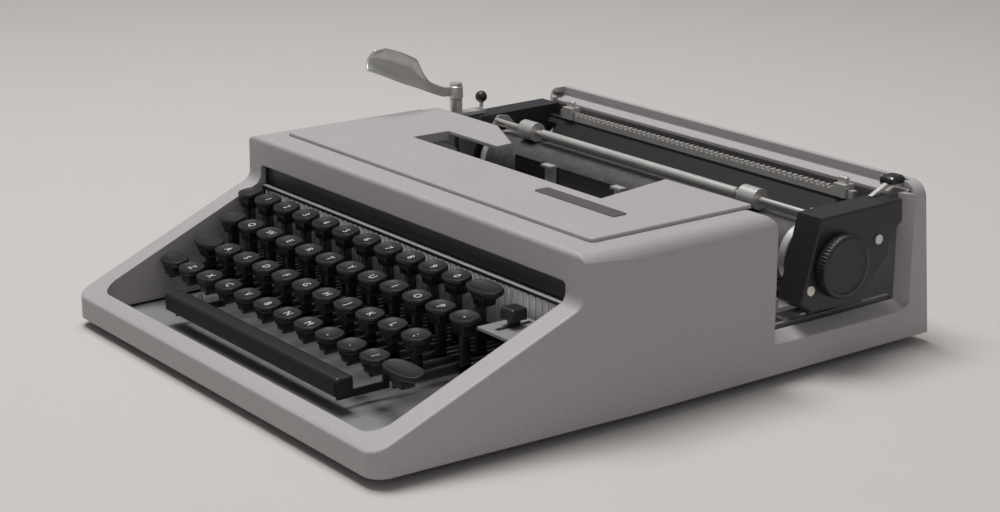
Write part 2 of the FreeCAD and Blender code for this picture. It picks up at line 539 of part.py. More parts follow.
def carriage():
    bed = box("bed", ("-bed_half", "bed_half"), ("bed_front", "bed_back"), ("bed_z", "bed_z + bed_thick"))
    front_lip = box("bed_lip", ("-bed_half", "bed_half"), ("bed_front", "bed_front + 2"),
                    ("bed_z", "bed_z + 7"))
    shoes = [cut("shoe_" + rail, box("shoe_block_" + rail, ("-16", "16"), (rail + " - 7", rail + " + 7"),
                                     ("12.5", "bed_z + 0.5")),
                 rod("shoe_bore_" + rail, "x", ("-17", "17"), (rail, "rail_z"), "rail_radius + running"))
             for rail in ("rail_front", "rail_back")]
    node("carriage_bed", fuse("bed_all", bed, front_lip, *shoes))

    plate = prism("end_plate", "x", [(y, z) for y, z in END_OUTLINE], ("bed_half", "end_inner"))
    pin = rod("bail_pin", "x", ("end_inner - 4.2", "end_inner"), ("bail_pivot_y", "bail_pivot_z"), "2")
    bore = rod("end_bore", "x", ("bed_half - 1", "end_inner + 1"), ("platen_y", "platen_z"),
               "shaft_radius + running")
    plate = fuse("end_plate_pin", cut("end_plate_bored", plate, bore), pin)
    node("carriage_end_plates", both_sides("end_plates", plate))

    cap = prism("end_cap", "x", END_OUTLINE, ("end_inner", "end_outer"))
    cap = round_edges("end_cap_edge", cap, "1.2",
                      lambda spot, run: near(spot.x, "end_outer", 0.2))
    cap = cut("end_cap_bored", cap, rod("end_cap_bore", "x", ("end_inner - 1", "end_outer + 1"),
                                        ("platen_y", "platen_z"), "shaft_radius + spare"))
    node("end_covers", both_sides("end_caps", cap))
    heads = [rod("head_%d" % i, "x", ("end_outer", "end_outer + 0.9"), spot, "2.5")
             for i, spot in enumerate((("295.7", "56"), ("249.8", "38")))]
    node("end_cover_screws", group("heads", heads + [
        mirrored("head_left_%d" % i, head) for i, head in enumerate(heads)]))

    table = prism("table", "x", [
        ("286.2", "42.6"), ("287.6", "41.4"), ("308.6", "66.6"), ("308.6", "68"), ("305.4", "68"),
        ("305.4", "66.4")], ("-bed_half", "bed_half"))
    trims = [box("table_trim_%d" % i, x, ("280", "304"), ("38", "64"))
             for i, x in enumerate((("-bed_half - 1", "-119"), ("119", "bed_half + 1")))]
    node("paper_table", cut("table_trimmed", table, *trims))
    bar = box("rack_bar", ("-rack_half", "rack_half"), ("rack_y - 1.6", "rack_y + 1.6"), ("68", "rack_z + 2"))
    notches = [box("rack_notch_%d" % i, ("-rack_half + 2 + 4 * %d" % i, "-rack_half + 4.2 + 4 * %d" % i),
                   ("rack_y - 3", "rack_y + 3"), ("rack_z + 0.6", "rack_z + 3")) for i in range(58)]
    rack = doc.addObject("Part::Cut", "rack")
    rack.Base = bar
    rack.Tool = group("rack_notches", notches)
    node("margin_rack", rack)
    for side, sign in (("left", -1), ("right", 1)):
        x = 110.0 * sign
        saddle = cut("saddle_" + side, box("saddle_block_" + side, (x - 4, x + 4),
                                           ("rack_y - 3.6", "rack_y + 3.6"), ("68.6", "rack_z + 4.6")),
                     box("saddle_slot_" + side, (x - 5, x + 5), ("rack_y - 1.9", "rack_y + 1.9"),
                         ("68", "rack_z + 2.3")))
        tab = box("stop_tab_" + side, (x - 3, x + 3), ("rack_y - 1.5", "rack_y + 1.5"),
                  ("rack_z + 4", "rack_z + 8.4"))
        tab = round_edges("stop_tab_round_" + side, tab, "1",
                          lambda spot, run: spot.z > number("rack_z + 6"))
        node("margin_stop_" + side, fuse("stop_" + side, saddle, tab))


def platen():
    roll = rod("roll", "x", ("-platen_half", "platen_half"), ("platen_y", "platen_z"), "platen_radius")
    shaft = rod("platen_shaft", "x", ("-end_outer - 1", "end_outer + 1"), ("platen_y", "platen_z"),
                "shaft_radius")
    node("platen", fuse("platen_all", roll, shaft))
    knob = cut("knob", rod("knob_disc", "x", ("end_outer + 0.4", "knob_outer"), ("platen_y", "platen_z"),
                           "knob_radius"),
               rod("knob_bore", "x", ("end_outer", "end_outer + 1"), ("platen_y", "platen_z"),
                   "shaft_radius"))
    node("platen_knobs", both_sides("knobs", knob))
    rollers = [rod("feed_%d" % i, "x", (x - 22, x + 22), ("257.6", "30.7"), "3.6") for i, x in
               enumerate((-72, 0, 72))]
    node("feed_rollers", fuse("feed_all", rod("feed_shaft", "x", ("-bed_half + 1", "bed_half - 1"),
                                              ("257.6", "30.7"), "1.8"), *rollers))


def bail():
    wire = rod("bail_wire", "x", ("-bed_half + 0.6", "bed_half - 0.6"), ("bail_y", "bail_z"),
               "bail_radius")
    arm = cut("bail_arm_bored", prism("bail_arm", "x", [
        ("bail_y - 3", "bail_z - 2"), ("bail_y + 1", "bail_z + 3"), ("bail_y + 8", "bail_z + 2"),
        ("bail_pivot_y + 5", "bail_pivot_z + 2"), ("bail_pivot_y + 3", "bail_pivot_z - 4"),
        ("bail_pivot_y - 3", "bail_pivot_z - 3"), ("bail_y + 6", "bail_z - 5")],
        ("end_inner - 3.6", "end_inner - 2.0")),
        rod("bail_eye", "x", ("end_inner - 6", "end_inner"), ("bail_pivot_y", "bail_pivot_z"),
            "2 + running"))
    sleeve = rod("bail_sleeve", "x", ("-84", "76"), ("bail_y", "bail_z"), "2.6")
    node("paper_bail", fuse("bail_all", wire, sleeve, arm, mirrored("bail_arm_left", arm)))
    tyre = "sqrt((bail_y - platen_y)^2 + (bail_z - platen_z)^2) - platen_radius - 0.342"
    rollers = [cut("bail_roller_%d" % i, rod("bail_tyre_%d" % i, "x", (x - 6, x + 6),
                                             ("bail_y", "bail_z"), tyre),
                   rod("bail_tyre_bore_%d" % i, "x", (x - 9, x + 9), ("bail_y", "bail_z"),
                       "bail_radius + running")) for i, x in enumerate((-95, 87))]
    node("bail_rollers", group("rollers", rollers))


def levers():
    post_at = ("-post_x", "post_y")
    bracket = box("post_bracket", ("-post_x - 4", "-post_x + 4"), ("post_y - 4", "262"), ("74", "76"))
    post = fuse("post", bracket, rod("post_pin", "z", ("75", "92.4"), post_at, "post_radius"),
                rod("post_collar", "z", ("75", "84"), post_at, "post_radius + 1.2"),
                rod("post_head", "z", ("92.2", "93.6"), post_at, "post_radius + 1.2"))
    node("lever_post", post)
    paddle = prism("paddle", "x", [
        ("177.3", "109"), ("187", "121.5"), ("214.7", "111.3"), ("221.5", "99.5"), ("240", "91"),
        ("240", "86"), ("226.2", "88.4"), ("204.2", "97.6")], ("-post_x - 1", "-post_x + 1"))
    paddle = round_edges("paddle_round", paddle, "4.5", lambda spot, run: abs(run.x) > 0.9
                         and spot.z > 105)
    eye = cut("lever_eye", rod("lever_hub", "z", ("84.2", "92"), post_at, "post_radius + 1.6"),
              rod("lever_hub_bore", "z", ("84", "93"), post_at, "post_radius + running"))
    node("return_lever", cut("lever_cleared", fuse("lever_all", paddle, eye), rod(
        "lever_relief", "z", ("80", "95"), post_at, "post_radius + running")))
    ball = doc.addObject("Part::Sphere", "release_ball")
    bind(ball, Radius="3.3", Placement__Base__x="-post_x", Placement__Base__y="261",
         Placement__Base__z="83")
    node("carriage_release_lever", fuse("release_lever", ball, rod(
        "release_stem", "z", ("76.8", "82"), ("-post_x", "261"), "1.2")))
    stem = prism("paper_stem", "x", [("302", "74.2"), ("307", "74.3"), ("318", "78.6"),
                                     ("318", "80"), ("315", "80")], ("131.5", "134"))
    cap = box("paper_cap", ("128", "137"), ("313", "323"), ("78", "82.4"))
    cap = round_edges("paper_cap_round", cap, "1.4", lambda spot, run: spot.z > 79)
    node("paper_release_lever", fuse("paper_lever", stem, cap))


for make in (casing, base, cover, frame, basket, ribbon_gear, escapement, keyboard, selector,
             carriage, platen, bail, levers):
    make()
doc.recompute()

faults = [item.Name for item in doc.Objects if "Invalid" in item.State or "Error" in item.State]
for piece in nodes:
    if piece.Shape.isNull() or not piece.Shape.isValid() or not piece.Shape.Solids:
        faults.append(piece.Label)
if faults:
    raise RuntimeError("not built: %s" % ", ".join(faults))
os.makedirs("parts", exist_ok=True)
for piece in nodes:
    piece.Shape.exportStep("parts/%s.step" % piece.Label)
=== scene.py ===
"""Looks of a flat portable typewriter, built around its construction frame. Metres, +Z up."""
import json
import math

import bmesh
import bpy
from bpy.props import FloatProperty, PointerProperty, StringProperty
from mathutils import Matrix, Vector

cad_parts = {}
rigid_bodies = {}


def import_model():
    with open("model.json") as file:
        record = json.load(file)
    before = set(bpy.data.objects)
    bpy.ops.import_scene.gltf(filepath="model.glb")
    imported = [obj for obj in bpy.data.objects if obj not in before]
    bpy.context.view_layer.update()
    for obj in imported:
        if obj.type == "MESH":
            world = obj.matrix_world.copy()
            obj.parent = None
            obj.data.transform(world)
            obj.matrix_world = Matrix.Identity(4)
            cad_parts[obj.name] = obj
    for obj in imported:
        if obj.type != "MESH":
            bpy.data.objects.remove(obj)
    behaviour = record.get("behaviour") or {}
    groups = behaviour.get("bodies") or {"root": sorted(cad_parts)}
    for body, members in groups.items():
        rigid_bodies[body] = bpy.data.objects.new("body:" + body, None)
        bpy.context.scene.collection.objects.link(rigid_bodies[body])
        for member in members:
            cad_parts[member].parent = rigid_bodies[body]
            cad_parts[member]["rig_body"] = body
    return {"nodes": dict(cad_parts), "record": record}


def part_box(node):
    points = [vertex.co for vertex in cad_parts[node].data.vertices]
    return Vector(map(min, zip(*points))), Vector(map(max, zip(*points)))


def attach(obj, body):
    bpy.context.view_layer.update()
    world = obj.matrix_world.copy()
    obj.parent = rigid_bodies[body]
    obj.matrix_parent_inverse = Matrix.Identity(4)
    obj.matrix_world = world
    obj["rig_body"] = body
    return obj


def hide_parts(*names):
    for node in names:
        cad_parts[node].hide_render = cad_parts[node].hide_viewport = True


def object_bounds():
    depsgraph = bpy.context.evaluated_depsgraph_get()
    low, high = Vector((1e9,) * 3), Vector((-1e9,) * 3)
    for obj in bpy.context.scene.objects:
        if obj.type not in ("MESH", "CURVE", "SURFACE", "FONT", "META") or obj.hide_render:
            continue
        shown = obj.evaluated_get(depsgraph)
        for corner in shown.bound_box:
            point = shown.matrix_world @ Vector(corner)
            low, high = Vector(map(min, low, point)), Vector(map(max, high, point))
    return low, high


bl_info = {
    "name": "Portable Typewriter",
    "version": (1, 0, 0),
    "blender": (4, 5, 0),
    "location": "View3D > Sidebar > Typewriter",
    "description": "Moulded housing, keys, platen and metalwork of a portable typewriter",
    "category": "Object",
}

MM = 0.001
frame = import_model()
NODES = frame["nodes"]
CAD_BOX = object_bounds()
LOW, HIGH = (Vector(corner) for corner in CAD_BOX)
LEVER_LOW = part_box("home_row_key_01")[0].z

# Legends of the grouped rows, from the left; a space is a blank keytop.
ROW_LEGENDS = {
    "number_row_keys": "1234567890",
    "upper_row_keys": " QWERTYUIOP-",
    "lower_row_keys": "ZXCVBNM,./",
}
HOME_LEGENDS = "ASDFGHJKL;"
LONE_KEYS = ("margin_release_key", "backspace_key", "shift_lock_key", "shift_key_left",
             "shift_key_right")


# ---- sizes and colours a user may change ------------------------------------------------------

def millimetres(name, description, default):
    """A length property given in millimetres."""
    return FloatProperty(name=name, description=description, default=default * MM, unit="LENGTH",
                         precision=5)


class TypewriterSizes(bpy.types.PropertyGroup):
    """Sizes of the detail that the frame leaves open"""
    key_pitch: millimetres("Key pitch", "Distance between neighbouring keys of a row", 19.05)
    key_wide: millimetres("Keytop width", "Width of a plain keytop", 15.6)
    key_deep: millimetres("Keytop depth", "Depth of a keytop from front to rear", 12.6)
    key_high: millimetres("Keytop height", "Height from the top of a cap to its neck's step", 5.0)
    cap_thick: millimetres("Cap thickness", "Thickness of the oval cap at its rim", 3.2)
    dish: millimetres("Dish", "Depth of the finger dish in a keytop", 0.9)
    key_tilt: FloatProperty(name="Keytop tilt", description="Lean of each keytop to the typist",
                            default=math.radians(7), subtype="ANGLE", unit="ROTATION")
    lever_thick: millimetres("Lever thickness", "Sheet thickness of a key lever", 1.6)
    lever_high: millimetres("Lever height", "Height of a key lever", 5.0)
    legend_high: millimetres("Legend height", "Height of the letters on the keytops", 4.2)
    knurl_deep: millimetres("Knurl depth", "Depth of the grooves round a platen knob", 0.55)
    paddle_thick: millimetres("Paddle thickness", "Sheet thickness of the return lever", 1.4)


class TypewriterColours(bpy.types.PropertyGroup):
    """Colours of the finishes, as sRGB hex values"""
    housing: StringProperty(name="Housing", description="Moulded housing plastic",
                            default="#ACA6A6")
    black: StringProperty(name="Black parts", description="Satin black plastic", default="#242226")
    key: StringProperty(name="Keytops", description="Glossy keytop plastic", default="#19171A")
    legend: StringProperty(name="Legends", description="Moulded letters", default="#D8D4CC")
    steel: StringProperty(name="Bright steel", description="Nickelled steel", default="#D9D6D1")
    frame_steel: StringProperty(name="Frame steel", description="Zinc-plated frame", default="#9C9A9C")
    lever_steel: StringProperty(name="Key levers", description="Dull zinc on the levers and stems",
                                default="#C9C7C9")
    rubber: StringProperty(name="Platen rubber", description="Ground rubber", default="#3A373B")
    ribbon: StringProperty(name="Ribbon", description="Inked cotton", default="#141318")
    badge: StringProperty(name="Badge", description="Anodised badge strip", default="#8A8687")
    floor: StringProperty(name="Floor", description="Paper sweep", default="#C2BEBA")


def sizes():
    return bpy.context.scene.typewriter_sizes


def colours():
    return bpy.context.scene.typewriter_colours


def linear(hex_colour):
    """An sRGB hex value as linear RGBA."""
    channels = [int(hex_colour[i:i + 2], 16) / 255 for i in (1, 3, 5)]
    return [c / 12.92 if c <= 0.04045 else ((c + 0.055) / 1.055) ** 2.4 for c in channels] + [1.0]


def darker(hex_colour, factor):
    """A linear colour scaled in brightness."""
    return [c * factor for c in linear(hex_colour)[:3]] + [1.0]


# ---- finishes ---------------------------------------------------------------------------------

def add_node(tree, kind, settings=None, links=None):
    """Add a node, set its attributes, and fill its inputs with values or other nodes' outputs."""
    node = tree.nodes.new(kind)
    for name, value in (settings or {}).items():
        setattr(node, name, value)
    for socket, value in (links or {}).items():
        if isinstance(value, bpy.types.NodeSocket):
            tree.links.new(value, node.inputs[socket])
        else:
            node.inputs[socket].default_value = value
    return node


def per_metre(size_mm):
    """Texture scale at which one feature is that many millimetres."""
    return 1.0 / (size_mm * MM)


def new_finish(name):
    """An empty material with its shader and output, and object coordinates."""
    material = bpy.data.materials.new(name)
    material.use_nodes = True
    tree = material.node_tree
    tree.nodes.clear()
    shader = add_node(tree, "ShaderNodeBsdfPrincipled")
    add_node(tree, "ShaderNodeOutputMaterial", links={"Surface": shader.outputs["BSDF"]})
    place = add_node(tree, "ShaderNodeTexCoord").outputs["Object"]
    return material, tree, shader, place


def blend_colours(tree, factor, first, second):
    """Colour between two linear colours by a factor socket."""
    mix = add_node(tree, "ShaderNodeMix", {"data_type": "RGBA"}, {0: factor, 6: first, 7: second})
    return mix.outputs[2]


def spread(tree, value, low, high, start=0.0, end=1.0):
    """Map a value from one range to another."""
    node = add_node(tree, "ShaderNodeMapRange", links={
        "Value": value, "From Min": start, "From Max": end, "To Min": low, "To Max": high})
    return node.outputs["Result"]


def moulded_plastic(name, colour, grain_mm, grain_strength, rough, edge_mm):
    """Moulded ABS: spark-eroded grain scatters the highlight, edges are softly rounded."""
    material, tree, shader, place = new_finish(name)
    grain = add_node(tree, "ShaderNodeTexNoise", links={
        "Vector": place, "Scale": per_metre(grain_mm), "Detail": 3.0, "Roughness": 0.6})
    cloud = add_node(tree, "ShaderNodeTexNoise", links={
        "Vector": place, "Scale": per_metre(60), "Detail": 4.0})
    tone = blend_colours(tree, cloud.outputs["Fac"], darker(colour, 0.93), darker(colour, 1.05))
    speck = spread(tree, grain.outputs["Fac"], 0.0, 1.0, 0.35, 0.7)
    tone = blend_colours(tree, speck, tone, darker(colour, 0.9))
    edge = add_node(tree, "ShaderNodeBevel", {"samples": 6}, {"Radius": edge_mm * MM})
    bump = add_node(tree, "ShaderNodeBump", links={
        "Height": grain.outputs["Fac"], "Strength": grain_strength, "Distance": 0.15 * MM,
        "Normal": edge.outputs["Normal"]})
    tree.links.new(tone, shader.inputs["Base Color"])
    tree.links.new(spread(tree, cloud.outputs["Fac"], rough - 0.05, rough + 0.05),
                   shader.inputs["Roughness"])
    tree.links.new(bump.outputs["Normal"], shader.inputs["Normal"])
    shader.inputs["IOR"].default_value = 1.53
    return material


def nickelled_steel(name, colour, rough, grain_mm=0.5, metallic=1.0):
    """Nickel-plated drawn steel: fine draw lines along X and faint cloudiness in the gloss.

    Metallic goes below 1 for dull plating, which shows some of its own grey under a soft light.
    """
    material, tree, shader, place = new_finish(name)
    stretch = add_node(tree, "ShaderNodeMapping", links={"Vector": place, "Scale": (0.04, 1.0, 1.0)})
    lines = add_node(tree, "ShaderNodeTexNoise", links={
        "Vector": stretch.outputs["Vector"], "Scale": per_metre(grain_mm), "Detail": 2.0})
    cloud = add_node(tree, "ShaderNodeTexNoise", links={"Vector": place, "Scale": per_metre(9)})
    tone = blend_colours(tree, cloud.outputs["Fac"], darker(colour, 0.86), darker(colour, 1.06))
    edge = add_node(tree, "ShaderNodeBevel", {"samples": 4}, {"Radius": 0.25 * MM})
    bump = add_node(tree, "ShaderNodeBump", links={
        "Height": lines.outputs["Fac"], "Strength": 0.12, "Distance": 0.05 * MM,
        "Normal": edge.outputs["Normal"]})
    tree.links.new(tone, shader.inputs["Base Color"])
    tree.links.new(spread(tree, lines.outputs["Fac"], rough - 0.08, rough + 0.1),
                   shader.inputs["Roughness"])
    tree.links.new(bump.outputs["Normal"], shader.inputs["Normal"])
    shader.inputs["Metallic"].default_value = metallic
    return material


def ground_rubber(name, colour):
    """Ground platen rubber: matt, with fine lines round the roll from the grinding wheel."""
    material, tree, shader, place = new_finish(name)
    rings = add_node(tree, "ShaderNodeTexWave", {"bands_direction": "X"}, {
        "Vector": place, "Scale": per_metre(0.8) / 20, "Distortion": 1.5, "Detail": 2.0})
    dust = add_node(tree, "ShaderNodeTexNoise", links={
        "Vector": place, "Scale": per_metre(5), "Detail": 5.0})
    tone = blend_colours(tree, spread(tree, dust.outputs["Fac"], 0, 1, 0.4, 0.75), linear(colour),
                         darker(colour, 1.9))
    bump = add_node(tree, "ShaderNodeBump", links={
        "Height": rings.outputs["Fac"], "Strength": 0.15, "Distance": 0.05 * MM})
    tree.links.new(tone, shader.inputs["Base Color"])
    tree.links.new(spread(tree, dust.outputs["Fac"], 0.5, 0.72), shader.inputs["Roughness"])
    tree.links.new(bump.outputs["Normal"], shader.inputs["Normal"])
    shader.inputs["IOR"].default_value = 1.52
    return material


def inked_cotton(name, colour):
    """Inked cotton ribbon: a tight plain weave, drawn at 0.6 mm so that it shows."""
    material, tree, shader, place = new_finish(name)
    weft = add_node(tree, "ShaderNodeTexWave", {"bands_direction": "X"}, {
        "Vector": place, "Scale": per_metre(0.6) / 20})
    warp = add_node(tree, "ShaderNodeTexWave", {"bands_direction": "Z"}, {
        "Vector": place, "Scale": per_metre(0.6) / 20})
    weave = add_node(tree, "ShaderNodeMath", {"operation": "MULTIPLY"}, {
        0: weft.outputs["Fac"], 1: warp.outputs["Fac"]})
    tone = blend_colours(tree, weave.outputs[0], linear(colour), darker(colour, 3.0))
    bump = add_node(tree, "ShaderNodeBump", links={
        "Height": weave.outputs[0], "Strength": 0.4, "Distance": 0.1 * MM})
    tree.links.new(tone, shader.inputs["Base Color"])
    tree.links.new(bump.outputs["Normal"], shader.inputs["Normal"])
    shader.inputs["Roughness"].default_value = 0.62
    return material


def make_finishes():
    """Every finish once, by the name of the record's material slot that it gives."""
    tone = colours()
    return {
        "casing_plastic": moulded_plastic("moulded_abs_housing", tone.housing, 1.3, 1.0, 0.5, 0.9),
        "black_plastic": moulded_plastic("moulded_abs_black", tone.black, 0.5, 0.25, 0.42, 0.5),
        "key_plastic": moulded_plastic("moulded_keytop", tone.key, 1.2, 0.1, 0.4, 0.3),
        "legend_plastic": moulded_plastic("two_shot_legend", tone.legend, 1.0, 0.05, 0.4, 0.05),
        "foot_rubber": moulded_plastic("moulded_rubber_foot", tone.ribbon, 1.0, 0.4, 0.75, 0.8),
        "platen_rubber": ground_rubber("ground_platen_rubber", tone.rubber),
        "inked_ribbon": inked_cotton("inked_cotton_ribbon", tone.ribbon),
        "badge_metal": nickelled_steel("anodised_badge", tone.badge, 0.42, 0.4),
        "bright_steel": nickelled_steel("nickelled_steel", tone.steel, 0.34, 0.5, 0.65),
        "frame_steel": nickelled_steel("zinc_plated_frame", tone.frame_steel, 0.5, 0.7, 0.55),
        "lever_steel": nickelled_steel("dull_zinc_levers", tone.lever_steel, 0.55, 0.6, 0.25),
    }


FINISHES = {}


def finish(piece, *slots):
    """Give a piece its finishes, one for each of its material slots."""
    piece.data.materials.clear()
    for name in slots:
        piece.data.materials.append(FINISHES[name])


# ---- mesh helpers -----------------------------------------------------------------------------

def new_piece(name, bm, *slots):
    """Turn a bmesh into a smooth-shaded object with its finishes."""
    bmesh.ops.recalc_face_normals(bm, faces=bm.faces)
    mesh = bpy.data.meshes.new(name)
    bm.to_mesh(mesh)
    bm.free()
    mesh.shade_smooth()
    piece = bpy.data.objects.new(name, mesh)
    bpy.context.scene.collection.objects.link(piece)
    finish(piece, *slots)
    return piece


def keep_edges(piece, angle=35):
    """Hold edges sharper than the angle crisp."""
    piece.data.set_sharp_from_angle(angle=math.radians(angle))


def stand_for(piece, node):
    """Let a piece take a construction node's place on that node's own body."""
    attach(piece, NODES[node]["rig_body"])
    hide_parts(node)


def ride_along(piece, node):
    """Let an added piece ride a construction node's body beside that node."""
    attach(piece, NODES[node]["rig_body"])


def rounded_outline(half_x, half_y, radius, steps=5):
    """Points round a rectangle with arc corners, anticlockwise."""
    points = []
    for corner, (sx, sy) in enumerate(((1, 1), (-1, 1), (-1, -1), (1, -1))):
        for i in range(steps + 1):
            angle = math.pi / 2 * (corner + i / steps)
            points.append(Vector((sx * (half_x - radius) + radius * math.cos(angle),
                                  sy * (half_y - radius) + radius * math.sin(angle), 0)))
    return points


def oval(half_x, half_y, steps=32):
    """Points round an oval a little squarer than an ellipse, anticlockwise."""
    points = []
    for i in range(steps):
        c, s = math.cos(2 * math.pi * i / steps), math.sin(2 * math.pi * i / steps)
        points.append(Vector((half_x * math.copysign(abs(c) ** 0.8, c),
                              half_y * math.copysign(abs(s) ** 0.8, s), 0)))
    return points


def loft(bm, rings, cap_start=True, cap_end=True, material=0):
    """Skin closed rings of equal length, and cap the two ends."""
    rows = [[bm.verts.new(point) for point in ring] for ring in rings]
    faces = []
    for lower, upper in zip(rows, rows[1:]):
        for i in range(len(lower)):
            j = (i + 1) % len(lower)
            faces.append(bm.faces.new((lower[i], lower[j], upper[j], upper[i])))
    if cap_start:
        faces.append(bm.faces.new(rows[0][::-1]))
    if cap_end:
        faces.append(bm.faces.new(rows[-1]))
    for face in faces:
        face.material_index = material


def bar_solid(bm, low, high, edge, material=0):
    """A bar with its four long edges and its ends eased."""
    centre, half = (low + high) / 2, (high - low) / 2
    heights = (-half.z, -half.z + edge, half.z - edge, half.z)
    rings = []
    for z, inset in zip(heights, (edge, 0, 0, edge)):
        ring = rounded_outline(half.x - inset, half.y - inset, edge, 1)
        rings.append([centre + Vector((p.x, p.y, z)) for p in ring])
    loft(bm, rings, material=material)


def turn_profile(bm, centre, profile, steps=40):
    """Turn (radius, height) points round a vertical axis."""
    rings = []
    for radius, height in profile:
        ring = []
        for i in range(steps):
            angle = 2 * math.pi * i / steps
            ring.append(centre + Vector((radius * math.cos(angle), radius * math.sin(angle), height)))
        rings.append(ring)
    loft(bm, rings, False, False)
    bmesh.ops.remove_doubles(bm, verts=bm.verts, dist=1e-6)


# ---- keys -------------------------------------------------------------------------------------

def keytop(bm, centre, width):
    """A dished, tilted oval cap with a rounded rim, on its square stepped neck."""
    size = sizes()
    half_x, half_y = width / 2, size.key_deep / 2
    tilt = Matrix.Translation(centre) @ Matrix.Rotation(size.key_tilt, 4, "X")
    cap = size.cap_thick
    # (inset, height below the top) up the skirt, over the rim and down into the dish
    profile = [(2.6 * MM, cap), (0.9 * MM, cap * 0.98), (0.3 * MM, cap * 0.85),
               (0.0, cap * 0.55), (0.05 * MM, cap * 0.25), (0.35 * MM, 0.12 * MM),
               (0.8 * MM, 0.0), (1.3 * MM, 0.14 * MM)]
    rings = []
    for inset, drop in profile:
        rings.append([tilt @ Vector((p.x, p.y, -drop)) for p in oval(half_x - inset, half_y - inset)])
    for share in (0.8, 0.55, 0.3, 0.06):
        drop = 0.14 * MM + size.dish * (1 - share ** 2)
        rings.append([tilt @ Vector((p.x, p.y, -drop)) for p in
                      oval((half_x - 1.3 * MM) * share, (half_y - 1.3 * MM) * share)])
    loft(bm, rings)
    neck, low = [], size.key_high + 4.0 * MM
    for z, half in ((low, 3.6 * MM), (low - 0.4 * MM, 4.1 * MM), (size.key_high + 1.2 * MM, 4.3 * MM),
                    (size.key_high + 0.9 * MM, 4.8 * MM), (cap - 0.6 * MM, 5.0 * MM)):
        ring = rounded_outline(half, half * 0.94, 0.9 * MM)
        neck.append([centre + Vector((p.x, p.y, -z)) for p in ring])
    loft(bm, neck)


def legend(text, centre):
    """A generic letter or figure set into the dish of a keytop, as a mesh."""
    size = sizes()
    curve = bpy.data.curves.new("legend", "FONT")
    curve.body = text
    curve.size = size.legend_high * 1.35
    curve.align_x = "CENTER"
    curve.align_y = "CENTER"
    curve.extrude = 0.12 * MM
    curve.resolution_u = 3
    thing = bpy.data.objects.new("legend", curve)
    bpy.context.scene.collection.objects.link(thing)
    bpy.context.view_layer.update()
    mesh = bpy.data.meshes.new_from_object(thing.evaluated_get(bpy.context.evaluated_depsgraph_get()))
    bpy.data.objects.remove(thing)
    tilt = Matrix.Translation(centre) @ Matrix.Rotation(size.key_tilt, 4, "X")
    mesh.transform(tilt @ Matrix.Translation((0, 0.2 * MM, -size.dish * 0.93)))
    return mesh


def row_of_keys(node, centres, widths, lever_xs, letters):
    """One piece for a construction node: its keytops, stems and levers, with their legends."""
    size = sizes()
    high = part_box(node)[1]
    bm = bmesh.new()
    for centre, width in zip(centres, widths):
        keytop(bm, centre, width)
    half = size.lever_thick / 2
    for centre, lever_x in zip(centres, lever_xs):
        stem_top = centre.z - size.key_high - 1.0 * MM
        base = LEVER_LOW
        bar_solid(bm, Vector((lever_x - half, centre.y - 3 * MM, base)),
                  Vector((lever_x + half, centre.y + 3 * MM, stem_top)), 0.25 * MM, 1)
        bar_solid(bm, Vector((lever_x - half, centre.y - 3 * MM, base)),
                  Vector((lever_x + half, high.y, base + size.lever_high)), 0.25 * MM, 1)
    piece = new_piece(node + "_moulded", bm, "key_plastic", "lever_steel", "legend_plastic")
    keep_edges(piece, 50)
    meshes = [legend(letter, centre) for letter, centre in zip(letters, centres) if letter != " "]
    if meshes:
        merged = bmesh.new()
        merged.from_mesh(piece.data)
        for mesh in meshes:
            start = len(merged.faces)
            merged.from_mesh(mesh)
            merged.faces.ensure_lookup_table()
            for face in merged.faces[start:]:
                face.material_index = 2
            bpy.data.meshes.remove(mesh)
        merged.to_mesh(piece.data)
        merged.free()
    stand_for(piece, node)
    return piece


class TYPEWRITER_OT_finishes(bpy.types.Operator):
    """Mix every finish and lay it on the construction nodes that show as they are"""
    bl_idname = "typewriter.finishes"
    bl_label = "Finishes"

    def execute(self, context):
        FINISHES.update(make_finishes())
        slots = {part["node"]: part["material_slot"] for part in frame["record"]["subparts"]}
        for name, node in NODES.items():
            finish(node, slots[name])
        finish(NODES["selector_plate"], "frame_steel")
        return {"FINISHED"}


class TYPEWRITER_OT_keys(bpy.types.Operator):
    """Mould the keytops with their legends, stems and levers"""
    bl_idname = "typewriter.keys"
    bl_label = "Keys"

    def execute(self, context):
        size = sizes()
        for node, letters in ROW_LEGENDS.items():
            low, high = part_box(node)
            centres = [Vector((low.x + size.key_wide / 2 + size.key_pitch * i,
                               low.y + size.key_deep / 2, high.z)) for i in range(len(letters))]
            row_of_keys(node, centres, [size.key_wide] * len(letters), [c.x for c in centres], letters)
        for i, letter in enumerate(HOME_LEGENDS, 1):
            node = "home_row_key_%02d" % i
            low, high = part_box(node)
            centre = Vector(((low.x + high.x) / 2, low.y + size.key_deep / 2, high.z))
            row_of_keys(node, [centre], [size.key_wide], [centre.x], letter)
        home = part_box("home_row_key_01")
        home_x = (home[0].x + home[1].x) / 2
        lower_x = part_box("lower_row_keys")[0].x + size.key_wide / 2
        number_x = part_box("number_row_keys")[0].x + size.key_wide / 2
        levers = {"margin_release_key": number_x - size.key_pitch,
                  "backspace_key": number_x + size.key_pitch * 10,
                  "shift_lock_key": home_x - size.key_pitch,
                  "shift_key_left": lower_x - size.key_pitch,
                  "shift_key_right": lower_x + size.key_pitch * 10}
        wide = {"shift_key_left": size.key_wide * 1.13}
        for node in LONE_KEYS:
            low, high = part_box(node)
            width = wide.get(node, high.x - low.x)
            centre = Vector((low.x + width / 2, low.y + size.key_deep / 2, high.z))
            row_of_keys(node, [centre], [width], [levers[node]], " ")
        return {"FINISHED"}


